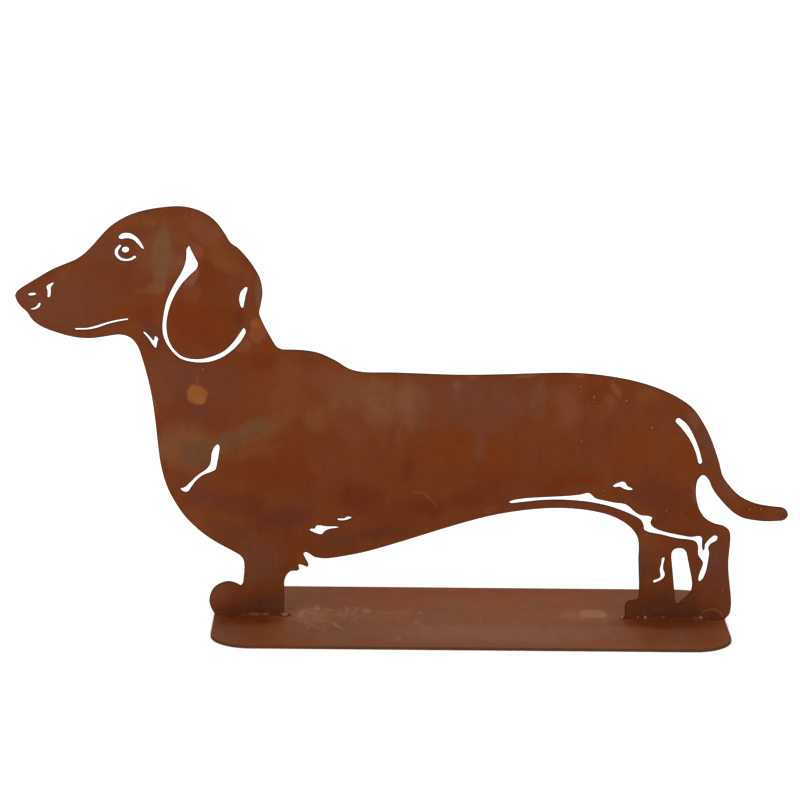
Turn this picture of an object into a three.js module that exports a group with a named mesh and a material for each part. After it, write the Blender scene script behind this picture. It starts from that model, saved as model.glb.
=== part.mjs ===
// A garden sculpture of a long, low dog: one flat sheet of rusted steel, cut to the outline of a
// dachshund and pierced with the marks of its eye, ear, muzzle and limbs. The sheet stands on its
// edge on a steel plate with round corners, and a weld bead holds each pair of feet.
//
// Millimetres. +Z is up, +X runs from the nose to the tail, and the welds are on the -Y side.
// The origin is the centre of the plate's underside.

import * as THREE from 'three';

// ---------- Driving dimensions ----------

const PLATE_LENGTH = 335;
const PLATE_WIDTH = 130;
const PLATE_THICKNESS = 2;
const PLATE_CORNER_RADIUS = 26;

const SHEET_THICKNESS = 2;

const WELD_LEG = 2.6;           // how far a bead reaches up the sheet and out over the plate
const WELD_RIPPLE_PITCH = 4;    // distance from one ripple of a bead to the next
const WELD_RIPPLE_DEPTH = 0.12; // rise of a ripple, as a share of the leg
const FRONT_WELD_SPAN = [-151, -117];
const HIND_WELD_SPAN = [98.5, 165.5];

const FIT_GAP = 0.3;            // air between pieces that rest on each other

// ---------- Fineness of the curves ----------

const STEPS_PER_SPAN = 12;      // points made between two guide points
const TOLERANCE = 0.04;         // how far a curve may lie from the edges that stand for it
const CORNER_STEPS = 12;        // edges round one corner of the plate
const OVAL_STEPS = 20;
const STROKE_END_STEPS = 6;     // edges round the end of a pierced stroke
const WELD_SECTION_STEPS = 6;
const WELD_STATIONS_PER_RIPPLE = 4;

// ---------- The dog's outline ----------
// Points are [x, height above the plate's top face]. Each run is a smooth curve through its
// points, and one run meets the next at a corner. The runs go round the dog from the nose, over
// the back to the tail, and home along the belly.

const SOLE = FIT_GAP;

const SILHOUETTE = {
  headAndNeck: [
    [-293.8, 212], [-293, 214.4], [-290, 217], [-280, 223.3], [-270, 229.3], [-261, 233.2],
    [-255, 235.8], [-250, 239.2], [-245, 244], [-240, 249.7], [-235, 255.2], [-230, 259.4],
    [-222, 264.1], [-212, 267.7], [-200, 270], [-187, 270.8], [-177, 268.7], [-169, 264.5],
    [-163.5, 259.2], [-159.3, 253], [-155.8, 247.5], [-151, 244], [-145.5, 238], [-140.5, 231],
    [-137, 224], [-135.6, 215.5], [-136.6, 208], [-137.7, 202], [-136, 197], [-130, 185.5],
    [-126.5, 180], [-123, 178.3],
  ],
  backAndTailTop: [
    [-123, 178.3], [-110, 178], [-100, 176.3], [-90, 172], [-80, 166], [-72, 164], [-50, 163.8],
    [-8, 162.8], [20, 163.4], [58, 164.7], [75, 164.1], [90, 162.3], [105, 159.4], [120, 154.7],
    [132, 149.1], [142, 142], [150, 130.9], [155, 120.8], [160, 107], [163, 97], [168, 89.9],
    [175, 83.3], [185, 78.7], [195, 76.9], [201.8, 76.3],
  ],
  tailTip: [
    [201.8, 76.3], [204.6, 74.9], [206.2, 71.8], [205, 68.9], [202.2, 67.4],
  ],
  tailUnderside: [
    [202.2, 67.4], [193, 66.9], [185, 67.5], [177, 69.1], [170, 73.1], [160, 83.5],
    [156, 89.4], [153.7, 94.5], [150.1, 97.6], [147, 94.9], [145.8, 89], [146.5, 81], [148.7, 74], [152.6, 68.4], [158, 65.2],
    [165, 63.1], [168.4, 60.2], [169.3, 55], [168.9, 48], [168.5, 41], [168.8, 33], [170, 23],
    [171, 15.5], [171.3, 9], [170.4, 3.6], [168.6, 1.6], [167.4, SOLE],
  ],
  hindSole: [[167.4, SOLE], [102.4, SOLE]],
  hindToes: [
    [102.4, SOLE], [101.7, 4], [102, 9.3], [103.7, 11.7], [106.5, 12.5], [109.6, 13], [110.8, 15],
  ],
  hindLegAndBelly: [
    [110.8, 15], [110.6, 23], [110.1, 33], [109.7, 40.5], [109.8, 48], [108.9, 54.5],
    [105.6, 60.2], [99, 65.7], [90, 70], [80, 72.5], [70, 73.9], [58, 74.5], [45, 74], [30, 72.3],
    [15, 69.6], [0, 65.7], [-20, 59.4], [-45, 51], [-65, 44.8], [-80, 41.3], [-95, 39.1],
    [-102, 40],
  ],
  upperElbowTuft: [
    [-102, 40], [-105, 42.2], [-107.6, 43.3], [-109, 42.2], [-107.6, 38.5], [-105.7, 34.5],
    [-106.4, 33.2],
  ],
  middleElbowTuft: [
    [-106.4, 33.2], [-109, 34.2], [-111.5, 34.9], [-112.3, 33.8], [-111.8, 31.8],
  ],
  lowerElbowTuft: [
    [-111.8, 31.8], [-112.9, 30.7], [-117.2, 30.3], [-120.2, 27.3], [-121.5, 23], [-121.6, 18],
  ],
  backOfForeleg: [[-121.6, 18], [-121.5, 2.2]],
  heelOfForepaw: [[-121.5, 2.2], [-123.2, SOLE]],
  frontSole: [[-123.2, SOLE], [-166.6, SOLE]],
  forepaw: [
    [-166.6, SOLE], [-169, 3.9], [-170.6, 9], [-169.9, 14.1], [-167, 18.9], [-162, 21.9],
    [-157.3, 22.7], [-153, 21.5], [-150.3, 20],
  ],
  forelegAndChest: [
    [-150.3, 20], [-149, 21], [-148.1, 25.5], [-147.9, 36.6], [-149.7, 40], [-155, 43.5],
    [-166, 49.5], [-175, 55.8], [-185, 65.3], [-192, 75.3], [-198, 87.5], [-201.5, 100.5],
    [-203.4, 115], [-205, 131.3], [-207.7, 150.5], [-212.5, 170.2], [-216, 180.2],
    [-220.5, 185.4], [-227, 187.3], [-235, 186.3], [-245, 184.8], [-256, 185.4], [-268, 188.5],
    [-277.5, 192.3], [-283, 196.5], [-286.5, 201.7], [-289.8, 204.7], [-292.5, 208.3],
    [-293.8, 212],
  ],
};

// ---------- The pierced marks ----------
// A closed mark is a smooth loop through its points. A stroke follows its points at a varying
// width, [x, height, width], and has round ends. An oval has a centre, two half axes and a tilt.

const CLOSED_MARKS = {
  eyebrow: [
    [-227.1, 250.2], [-226, 252.3], [-223.4, 253.4], [-219.5, 253.1], [-215.5, 250.5],
    [-212.8, 247], [-211.3, 243.3], [-212.1, 243.2], [-214.4, 245.6], [-218, 249],
    [-222, 250], [-225.8, 249.4],
  ],
  noseWing: [
    [-269, 220.9], [-271.4, 220], [-273.6, 218.1], [-273, 215.4], [-272.9, 213.3],
    [-273.1, 211.5], [-272.4, 211], [-271.3, 212.5], [-270.9, 215], [-270.9, 217.5],
    [-269.5, 219.7],
  ],
  jaw: [
    [-212.3, 189.2], [-210.8, 188.9], [-207.4, 185.4], [-205.5, 183.3], [-204.9, 185.2],
    [-204.3, 186.3], [-202.6, 184.7], [-203.3, 182.6], [-203.8, 179.4], [-204.4, 178.6],
    [-206.3, 180.8], [-208.7, 184.5],
  ],
  ear: [
    [-182.4, 245.3], [-183.9, 243.2], [-184.1, 239], [-184.8, 234], [-187.3, 228],
    [-192.5, 219.1], [-197, 209], [-199.3, 198], [-199.8, 191], [-198.7, 184.8],
    [-194.8, 177.8], [-189, 172], [-180, 169.4], [-170, 169.7], [-161.5, 172.9],
    [-153.5, 179], [-148.2, 185.8], [-146.5, 190.3], [-147.5, 192.2], [-149.8, 189.3],
    [-154, 183.2], [-160, 177.2], [-168, 173.3], [-178, 171.4], [-187, 173.1],
    [-193.3, 178.8], [-196.5, 186], [-197.3, 195], [-195.8, 203.5], [-192.8, 211.5],
    [-187.8, 220], [-182, 226.5], [-177.9, 230.5], [-176.9, 233.7], [-178.7, 238],
    [-180.8, 242],
  ],
  earBack: [
    [-145.7, 219.1], [-147.9, 217.8], [-149.9, 214.5], [-150.4, 209.5], [-149.1, 205.6],
    [-148.2, 205.5], [-147.5, 208.6], [-146.5, 213.8], [-145.3, 217.9],
  ],
  chestCrease: [
    [-164.5, 115.1], [-163.6, 113.4], [-164.1, 109], [-165.2, 103], [-166.5, 97.9], [-169, 96.5],
    [-174.5, 94.2], [-178.9, 90.6], [-182.3, 86], [-184.4, 83.2], [-187.2, 83.2],
    [-189, 85.2], [-186.1, 86.2], [-182.6, 89.5], [-177.4, 94.5], [-171.9, 98.5],
    [-169.4, 102.4], [-168.5, 109], [-166.6, 113.5],
  ],
  lowerElbow: [
    [-105, 58.2], [-104.2, 59.1], [-101.6, 59.3], [-100.6, 61.2], [-98.5, 61.5], [-94, 60.8],
    [-88, 60.8], [-85.4, 60.1], [-88, 59.5], [-92.4, 58.8], [-95.3, 57.3], [-97.3, 55.3],
    [-100, 55.6],
  ],
  upperElbow: [
    [-87.4, 65.8], [-86, 66.2], [-83, 66.2], [-80.3, 67.5], [-77.6, 66.9], [-79.4, 65.6],
    [-82.5, 64.8], [-86, 64.8],
  ],
  flank: [
    [91.8, 89.4], [92.4, 90.4], [95, 91.8], [98, 92.7], [99.8, 91.8], [100.8, 90],
    [103.3, 88.6], [105, 87.3], [102.5, 86.9], [99.3, 87.6], [96.3, 89.1], [93, 88.8],
  ],
  bellyAndHock: [
    [24.4, 78.2], [27, 79.5], [34, 80.8], [48, 81.8], [62, 82.6], [70.5, 83.6], [76.2, 84.8],
    [78, 83.6], [80.6, 81.3], [86, 79.9], [93, 78.5], [99.8, 77.6], [103, 75.6], [106.5, 72.3],
    [110.5, 70.2], [115.5, 69.7], [117.9, 68.4], [117.1, 66.1], [117, 64.3], [119.5, 61.7],
    [126, 59.2], [135, 57.3], [143.5, 55.9], [149.3, 56.4], [150.8, 54.7], [150.9, 50],
    [151.3, 47.5], [152.1, 46.8], [152.7, 48], [152.9, 50.8], [155, 53.9], [158.9, 57],
    [160.9, 55.9], [160.2, 53.4], [156.6, 51.1], [155.1, 48.3], [155.8, 44.5], [155.1, 38.5],
    [153.9, 31.5], [151.7, 26.7], [150.1, 25.6], [149.3, 27.3], [150.2, 32], [151.5, 35.5],
    [151.9, 38.8], [149.7, 42], [148.5, 45], [148.5, 49.3], [147, 52.4], [143.5, 53.7],
    [135, 54.6], [124, 57.2], [116, 58.7], [113.1, 60.3], [112.5, 63.6], [110.7, 66.8],
    [105.5, 70], [98, 73.2], [88, 76.4], [76, 78.7], [60, 79.9], [46, 79.6], [32, 78],
    [25.7, 77.5],
  ],
  hindLegGap: [
    [131.5, 45.5], [131.2, 42.5], [131.8, 37], [132.5, 31], [133.2, 24.5], [134.1, 16.5],
    [134.9, 10.6], [136, 10.2], [139.5, 12.9], [143.4, 16.9], [145.2, 20.7], [145.1, 26],
    [143.8, 32.5], [142.2, 39.5], [140.6, 45.7], [138.6, 47.8], [136, 48.2], [133.2, 47.6],
  ],
};

const STROKES = {
  eyeRing: [
    [-226.4, 245.1, 1.4], [-228.5, 242.2, 1.9], [-228.5, 239.2, 2], [-226, 236.6, 1.8],
    [-222.5, 235.9, 1.4], [-219.5, 236.4, 1.5], [-217.1, 237.9, 1.7],
  ],
  noseUnderside: [
    [-283.4, 203.4, 0.9], [-281.2, 203.8, 1.1], [-279.2, 205.2, 1.4], [-278.1, 207, 1.2],
  ],
  mouth: [
    [-255.3, 190.7, 1.1], [-248, 190.9, 1.2], [-241.5, 192.4, 1.5], [-234.5, 194.8, 1.2],
    [-229, 196.2, 1.2], [-222.2, 197.4, 1],
  ],
  tailRoot: [
    [133, 133.6, 3.7], [136.5, 130.4, 4.1], [139.5, 126.4, 3.8], [141.4, 123.4, 3.3],
    [143.7, 119, 2.7], [145.4, 115, 2.5], [146.5, 111.8, 2.4], [148, 106.1, 2.5],
  ],
  knee: [
    [126, 40.9, 1.8], [125.4, 37, 1.5], [125, 33.5, 2.1], [125.9, 29.8, 2.7],
    [125.1, 27.6, 2.1], [122.8, 26.2, 1.9], [120.9, 25.4, 2.3],
  ],
};

const OVALS = {
  pupil: { centre: [-222.9, 242.6], halfAxes: [2.3, 1.9], tilt: 20 },
  nostril: { centre: [-282.9, 213.1], halfAxes: [2.6, 0.95], tilt: 8 },
};

// ---------- Curves ----------

/** Drops the points that lie closer than the tolerance to the line between their neighbours. */
function thinned(points) {
  const [x0, z0] = points[0];
  const [x1, z1] = points[points.length - 1];
  const length = Math.hypot(x1 - x0, z1 - z0);
  let farthest = 0;
  let index = 0;
  points.slice(1, -1).forEach(([x, z], i) => {
    const across = Math.abs((x - x0) * (z1 - z0) - (z - z0) * (x1 - x0)) / length;
    if (across > farthest) {
      farthest = across;
      index = i + 1;
    }
  });
  if (farthest < TOLERANCE) return [points[0], points[points.length - 1]];
  return [...thinned(points.slice(0, index + 1)), ...thinned(points.slice(index)).slice(1)];
}

/** A smooth curve through the guide points, as a thinned list of points. */
function smoothRun(guides) {
  if (guides.length === 2) return guides;
  const curve = new THREE.CatmullRomCurve3(
    guides.map(([x, z]) => new THREE.Vector3(x, z, 0)), false, 'centripetal',
  );
  const fine = curve.getPoints(STEPS_PER_SPAN * (guides.length - 1));
  return thinned(fine.map(({ x, y }) => [x, y]));
}

/** A smooth loop through the guide points, thinned in two halves because its ends meet. */
function smoothLoop(guides) {
  const curve = new THREE.CatmullRomCurve3(
    guides.map(([x, z]) => new THREE.Vector3(x, z, 0)), true, 'centripetal',
  );
  const fine = curve.getPoints(STEPS_PER_SPAN * guides.length).map(({ x, y }) => [x, y]);
  const half = Math.floor(fine.length / 2);
  const firstHalf = thinned(fine.slice(0, half + 1));
  const secondHalf = thinned(fine.slice(half));
  return [...firstHalf, ...secondHalf.slice(1, -1)];
}

/** The outline of a stroke that follows [x, height, width] points and has round ends. */
function strokeOutline(guides) {
  const curve = new THREE.CatmullRomCurve3(
    guides.map(([x, z, width]) => new THREE.Vector3(x, z, width)), false, 'centripetal',
  );
  const spine = curve.getPoints(STEPS_PER_SPAN * (guides.length - 1));
  const headings = spine.map((point, i) => {
    const before = spine[Math.max(i - 1, 0)];
    const after = spine[Math.min(i + 1, spine.length - 1)];
    return Math.atan2(after.y - before.y, after.x - before.x);
  });
  const rim = (i, turn) => [
    spine[i].x + Math.cos(headings[i] + turn) * spine[i].z / 2,
    spine[i].y + Math.sin(headings[i] + turn) * spine[i].z / 2,
  ];
  const side = (turn) => thinned(spine.map((point, i) => rim(i, turn)));
  const roundEnd = (i, from) => {
    const inner = Array.from({ length: STROKE_END_STEPS - 1 }, (unused, k) => k + 1);
    return inner.map((k) => rim(i, from - Math.PI * k / STROKE_END_STEPS));
  };
  const quarter = Math.PI / 2;
  return [
    ...side(quarter),
    ...roundEnd(spine.length - 1, quarter),
    ...side(-quarter).reverse(),
    ...roundEnd(0, -quarter),
  ];
}

/** The outline of a tilted oval. */
function ovalOutline({ centre: [x, z], halfAxes: [a, b], tilt }) {
  const curve = new THREE.EllipseCurve(
    x, z, a, b, 0, 2 * Math.PI, false, THREE.MathUtils.degToRad(tilt),
  );
  return curve.getPoints(OVAL_STEPS).slice(0, -1).map((point) => [point.x, point.y]);
}

// ---------- Pieces ----------

const STEEL = { metalness: 0.35 };
const sheetMaterial = new THREE.MeshStandardMaterial({ color: 0x6f3e26, roughness: 0.62, ...STEEL });
const plateMaterial = new THREE.MeshStandardMaterial({ color: 0x7c4f3e, roughness: 0.55, ...STEEL });
const weldMaterial = new THREE.MeshStandardMaterial({ color: 0x57301d, roughness: 0.5, ...STEEL });

const asVectors = (points) => points.map(([x, z]) => new THREE.Vector2(x, z));

/** The plate: a rectangle with quarter-round corners. */
function plateGeometry() {
  const cornerX = PLATE_LENGTH / 2 - PLATE_CORNER_RADIUS;
  const cornerY = PLATE_WIDTH / 2 - PLATE_CORNER_RADIUS;
  const quarter = Math.PI / 2;
  const shape = new THREE.Shape();
  [[1, 1], [-1, 1], [-1, -1], [1, -1]].forEach(([sideX, sideY], i) => {
    const start = i * quarter;
    shape.absarc(sideX * cornerX, sideY * cornerY, PLATE_CORNER_RADIUS, start, start + quarter);
  });
  return new THREE.ExtrudeGeometry(shape, {
    depth: PLATE_THICKNESS, bevelEnabled: false, curveSegments: CORNER_STEPS,
  });
}

/** The dog: the silhouette with its marks cut through, stood on edge and centred on Y = 0. */
function sheetGeometry() {
  const runs = Object.values(SILHOUETTE).map((guides) => smoothRun(guides).slice(0, -1));
  // The extrusion turns each mark the right way only when the outline runs anticlockwise.
  const anticlockwise = runs.flat().reverse();
  const shape = new THREE.Shape(asVectors(anticlockwise));
  const marks = [
    ...Object.values(CLOSED_MARKS).map(smoothLoop),
    ...Object.values(STROKES).map(strokeOutline),
    ...Object.values(OVALS).map(ovalOutline),
  ];
  shape.holes = marks.map((points) => new THREE.Path(asVectors(points)));
  const geometry = new THREE.ExtrudeGeometry(shape, {
    depth: SHEET_THICKNESS, bevelEnabled: false,
  });
  geometry.rotateX(Math.PI / 2);
  geometry.translate(0, SHEET_THICKNESS / 2, 0);
  return geometry;
}

/** A weld bead along X: quarter-round sections that swell at each ripple and taper at the ends. */
function beadGeometry([from, to]) {
  const length = to - from;
  const ripples = Math.round(length / WELD_RIPPLE_PITCH);
  const stations = ripples * WELD_STATIONS_PER_RIPPLE;
  const ringSize = WELD_SECTION_STEPS + 2;
  const positions = [];
  for (let i = 0; i <= stations; i += 1) {
    const along = i / stations;
    const swell = 1 + WELD_RIPPLE_DEPTH * Math.sin(2 * Math.PI * ripples * along);
    const fromEnd = Math.min(along, 1 - along) * length;
    const taper = Math.min(1, 0.55 + 0.45 * fromEnd / WELD_LEG);
    const leg = WELD_LEG * swell * taper;
    positions.push(from + along * length, 0, 0);
    for (let k = 0; k <= WELD_SECTION_STEPS; k += 1) {
      const angle = Math.PI / 2 * k / WELD_SECTION_STEPS;
      positions.push(from + along * length, -leg * Math.cos(angle), leg * Math.sin(angle));
    }
  }
  const faces = [];
  for (let i = 0; i < stations; i += 1) {
    for (let k = 0; k < ringSize; k += 1) {
      const a = i * ringSize + k;
      const b = i * ringSize + (k + 1) % ringSize;
      faces.push(a, a + ringSize, b, b, a + ringSize, b + ringSize);
    }
  }
  const last = stations * ringSize;
  for (let k = 1; k < ringSize - 1; k += 1) {
    faces.push(0, k, k + 1);
    faces.push(last, last + k + 1, last + k);
  }
  const geometry = new THREE.BufferGeometry();
  geometry.setAttribute('position', new THREE.Float32BufferAttribute(positions, 3));
  geometry.setIndex(faces);
  geometry.computeVertexNormals();
  return geometry;
}

function namedMesh(name, geometry, material) {
  const mesh = new THREE.Mesh(geometry, material);
  mesh.name = name;
  return mesh;
}

// ---------- Assembly ----------

const sculpture = new THREE.Group();

const plate = namedMesh('base_plate', plateGeometry(), plateMaterial);
sculpture.add(plate);

const standing = new THREE.Group();
standing.position.z = PLATE_THICKNESS;
standing.add(namedMesh('dog_sheet', sheetGeometry(), sheetMaterial));
sculpture.add(standing);

const weldSpans = { front_foot_weld: FRONT_WELD_SPAN, hind_foot_weld: HIND_WELD_SPAN };
for (const [name, span] of Object.entries(weldSpans)) {
  const weld = namedMesh(name, beadGeometry(span), weldMaterial);
  weld.position.set(0, -(SHEET_THICKNESS / 2 + FIT_GAP), FIT_GAP);
  standing.add(weld);
}

export default sculpture;
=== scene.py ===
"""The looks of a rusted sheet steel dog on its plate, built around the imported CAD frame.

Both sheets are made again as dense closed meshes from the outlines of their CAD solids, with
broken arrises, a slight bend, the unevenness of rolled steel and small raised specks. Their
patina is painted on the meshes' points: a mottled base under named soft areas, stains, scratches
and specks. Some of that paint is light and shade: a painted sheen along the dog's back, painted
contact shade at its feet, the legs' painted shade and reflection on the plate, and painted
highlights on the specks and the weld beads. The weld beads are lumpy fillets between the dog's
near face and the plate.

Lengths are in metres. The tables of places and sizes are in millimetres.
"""

import math

import bmesh
import bpy
import numpy as np
from mathutils import Euler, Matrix, Vector, kdtree, noise
from mathutils.geometry import delaunay_2d_cdt


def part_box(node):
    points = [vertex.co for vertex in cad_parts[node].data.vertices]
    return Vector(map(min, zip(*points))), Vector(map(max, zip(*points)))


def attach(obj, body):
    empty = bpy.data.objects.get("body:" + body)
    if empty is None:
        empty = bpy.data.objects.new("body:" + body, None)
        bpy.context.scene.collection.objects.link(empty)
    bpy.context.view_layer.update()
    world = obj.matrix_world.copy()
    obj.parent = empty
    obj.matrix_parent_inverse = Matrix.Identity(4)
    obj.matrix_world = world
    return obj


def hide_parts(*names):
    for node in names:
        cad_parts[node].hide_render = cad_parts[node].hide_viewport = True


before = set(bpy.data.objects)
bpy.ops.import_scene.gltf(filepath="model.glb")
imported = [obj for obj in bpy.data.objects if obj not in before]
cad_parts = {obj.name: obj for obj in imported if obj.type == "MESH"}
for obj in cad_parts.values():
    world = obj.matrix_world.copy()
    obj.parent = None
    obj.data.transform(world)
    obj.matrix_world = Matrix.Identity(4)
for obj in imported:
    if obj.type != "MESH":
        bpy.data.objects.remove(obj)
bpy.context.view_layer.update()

MM = 0.001
SEED = 11

# ---- Places taken from the frame ----

PLATE_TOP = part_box("base_plate")[1].z
dog_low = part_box("dog_sheet")[0]
NEAR_FACE = dog_low.y

# ---- Sheets ----

ARRIS = 0.14 * MM          # width of the broken edge between a face and the cut wall
OUTLINE_STEP = 0.9 * MM    # longest piece of an outline
WALL_ROWS = 3              # rows of faces through the thickness
RING_DEPTHS = (0.45 * MM, 1.1 * MM)  # rings of extra points inside the outline
RING_ROOM = 0.93           # a ring's points are at least this share of its depth from the cut
GRID_START = 0.37          # height of the inner grid's first row, in rows
GRID_ROOM = 0.45           # room between the grid and the rings, in pitches
EDGE_SAMPLING = 0.15 * MM  # step along the cut when the distance to it is measured
RELIEF_FADE = 1.0 * MM     # over this distance from the cut the relief grows to all of it
SAME_POINT = 0.002 * MM    # points of the CAD mesh this close are one
SAME_WAY = 0.9             # least cosine between a face's normal and the way its sheet looks
SHARP_ANGLE = math.radians(30)
BUMP_RINGS = ((0.35, 6), (0.7, 10), (1.0, 14))  # share of a speck's radius, points round it
BUMP_ROOM = 1.3            # other points stay this many radii from a speck's centre


class Upright:
    """A sheet that stands in the XZ plane: its first face looks along -Y."""
    across = (0, 2)
    through = 1
    facing = -1


class Flat:
    """A sheet that lies in the XY plane: its first face looks up."""
    across = (0, 1)
    through = 2
    facing = 1


def read_outlines(node, plane):
    """The outlines of a CAD sheet's first face, outer one first, metal on the left of each."""
    mesh = bmesh.new()
    mesh.from_mesh(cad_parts[node].data)
    bmesh.ops.remove_doubles(mesh, verts=mesh.verts, dist=SAME_POINT)
    following = {}
    for face in mesh.faces:
        if face.normal[plane.through] * plane.facing < SAME_WAY:
            continue
        for loop in face.loops:
            other = loop.link_loop_radial_next.face
            if other.normal[plane.through] * plane.facing < SAME_WAY:
                following[loop.vert] = loop.link_loop_next.vert
    outlines = []
    while following:
        vert = min(following, key=lambda vert: vert.index)
        outline = []
        while vert in following:
            outline.append([vert.co[axis] for axis in plane.across])
            vert = following.pop(vert)
        outlines.append(np.array(outline))
    mesh.free()
    return sorted(outlines, key=lambda outline: -np.ptp(outline[:, 0]))


def divided(outline, step):
    """The outline with its long edges cut into equal pieces."""
    pieces = []
    for start, end in zip(outline, np.roll(outline, -1, axis=0)):
        count = max(1, math.ceil(np.linalg.norm(end - start) / step))
        shares = np.arange(count)[:, None] / count
        pieces.append(start + (end - start) * shares)
    return np.vstack(pieces)


def inward(outline):
    """Unit normals of an outline's points, towards the metal."""
    edges = np.roll(outline, -1, axis=0) - outline
    edges /= np.linalg.norm(edges, axis=1)[:, None]
    tangents = edges + np.roll(edges, 1, axis=0)
    tangents /= np.maximum(np.linalg.norm(tangents, axis=1), 1e-9)[:, None]
    return np.column_stack([-tangents[:, 1], tangents[:, 0]])


def filled_grid(outlines, pitch):
    """Points of a triangular grid that lie on the metal."""
    corners = np.vstack(outlines)
    low = corners.min(0)
    high = corners.max(0)
    ends = np.vstack([np.roll(outline, -1, axis=0) for outline in outlines])
    points = []
    height = pitch * math.sqrt(3) / 2
    for row in range(int((high[1] - low[1]) / height) + 1):
        level = low[1] + (row + GRID_START) * height
        crosses = (corners[:, 1] > level) != (ends[:, 1] > level)
        a = corners[crosses]
        b = ends[crosses]
        shares = (level - a[:, 1]) / (b[:, 1] - a[:, 1])
        crossings = np.sort(a[:, 0] + shares * (b[:, 0] - a[:, 0]))
        places = np.arange(low[0] + (row % 2) * pitch / 2, high[0], pitch)
        inside = places[np.searchsorted(crossings, places) % 2 == 1]
        points.append(np.column_stack([inside, np.full(len(inside), level)]))
    return np.vstack(points)


def nearest_distances(points, samples):
    """Distance from each point to the nearest of the samples."""
    tree = kdtree.KDTree(len(samples))
    for index, (u, v) in enumerate(samples):
        tree.insert((u, v, 0), index)
    tree.balance()
    return np.array([tree.find((u, v, 0))[2] for u, v in points])


def waves(points, wavelength, seed, count=28):
    """A smooth random height over the plane, of about unit size, from a sum of plane waves."""
    shortest, longest = 0.65, 1.6
    rng = np.random.default_rng(seed)
    angles = rng.uniform(0, 2 * math.pi, count)
    rates = 2 * math.pi / (wavelength * rng.uniform(shortest, longest, count))
    phases = rng.uniform(0, 2 * math.pi, count)
    total = np.zeros(len(points))
    for angle, rate, phase in zip(angles, rates, phases):
        along = points[:, 0] * math.cos(angle) + points[:, 1] * math.sin(angle)
        total += np.cos(along * rate + phase)
    return total * math.sqrt(2 / count)


def bump_points(bumps):
    """Points that give each raised speck, as centre, radius and rise, its round shape."""
    points = []
    for u, v, radius, _ in bumps:
        points.append((u, v))
        for share, count in BUMP_RINGS:
            for i in range(count):
                angle = 2 * math.pi * (i + share) / count
                points.append((u + share * radius * math.cos(angle),
                               v + share * radius * math.sin(angle)))
    return np.array(points)


def bump_height(points, bumps):
    """Height of the relief that the raised specks add."""
    height = np.zeros(len(points))
    for u, v, radius, rise in bumps:
        distance = np.hypot(points[:, 0] - u, points[:, 1] - v) / radius
        height += rise * np.clip(1 - distance ** 2, 0, 1) ** 1.5
    return height


def rust_piece(name, verts, faces, colours, rooms):
    """A smooth-shaded object with the colour and the distance to a cut edge of each point."""
    mesh = bpy.data.meshes.new(name)
    mesh.from_pydata(verts.tolist(), [], faces)
    mesh.update()
    distance = mesh.attributes.new("cut_distance", "FLOAT", "POINT")
    distance.data.foreach_set("value", rooms.astype(np.float32))
    # The colour of each point: rust, with the painted sheen, shade and highlights laid into it.
    colour = mesh.attributes.new("patina", "FLOAT_COLOR", "POINT")
    opaque = np.column_stack([colours, np.ones(len(colours))])
    colour.data.foreach_set("color", opaque.astype(np.float32).ravel())
    mesh.polygons.foreach_set("use_smooth", [True] * len(mesh.polygons))
    mesh.set_sharp_from_angle(angle=SHARP_ANGLE)
    piece = bpy.data.objects.new(name, mesh)
    bpy.context.scene.collection.objects.link(piece)
    return piece


def inner_points(raw, outlines, insets, pitch, bumps):
    """Points inside a face's inset outlines, and the distance from each to the cut."""
    loose = []
    wanted = []
    normals = [inward(outline) for outline in outlines]
    for depth in RING_DEPTHS:
        for outline, normal in zip(outlines, normals):
            loose.append(outline + normal * depth)
            wanted.append(np.full(len(outline), depth * RING_ROOM))
    loose.append(filled_grid(insets, pitch))
    wanted.append(np.full(len(loose[-1]), RING_DEPTHS[-1] + GRID_ROOM * pitch))
    loose = np.vstack(loose)
    edge = np.vstack([divided(outline, EDGE_SAMPLING) for outline in raw])
    room = nearest_distances(loose, edge)
    keep = room > np.concatenate(wanted)
    for u, v, radius, _ in bumps:
        keep &= np.hypot(loose[:, 0] - u, loose[:, 1] - v) > radius * BUMP_ROOM
    loose = loose[keep]
    room = room[keep]
    if bumps:
        extra = bump_points(bumps)
        loose = np.vstack([loose, extra])
        room = np.concatenate([room, nearest_distances(extra, edge)])
    return loose, room


class Cap:
    """One face of a sheet, as triangles inside the inset outlines."""

    def __init__(self, raw, outlines, insets, pitch, bumps):
        loose, room = inner_points(raw, outlines, insets, pitch, bumps)
        rims = np.vstack(insets)
        regions = []
        offset = 0
        for inset in insets:
            region = list(range(offset, offset + len(inset)))
            regions.append(region if not regions else region[::-1])
            offset += len(inset)
        inputs = [Vector(point) for point in np.vstack([rims, loose])]
        points, _, triangles, source_verts, _, source_regions = delaunay_2d_cdt(
            inputs, [], regions, 0, 1e-9, True)
        self.points = np.array([point[:] for point in points])
        self.faces = [tuple(face) for face, sources in zip(triangles, source_regions)
                      if list(sources) == [0]]
        self.rim = {original: i for i, sources in enumerate(source_verts) for original in sources}
        distance = np.concatenate([np.full(len(rims), ARRIS), room])
        self.room = np.array([distance[sources[0]] for sources in source_verts])


def wall_faces(rows):
    """Faces between rows of points that go round an outline, one row under the other."""
    faces = []
    for above, below in zip(rows, rows[1:]):
        for i in range(len(above)):
            j = (i + 1) % len(above)
            faces.append((above[j], above[i], below[i], below[j]))
    return faces


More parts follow.
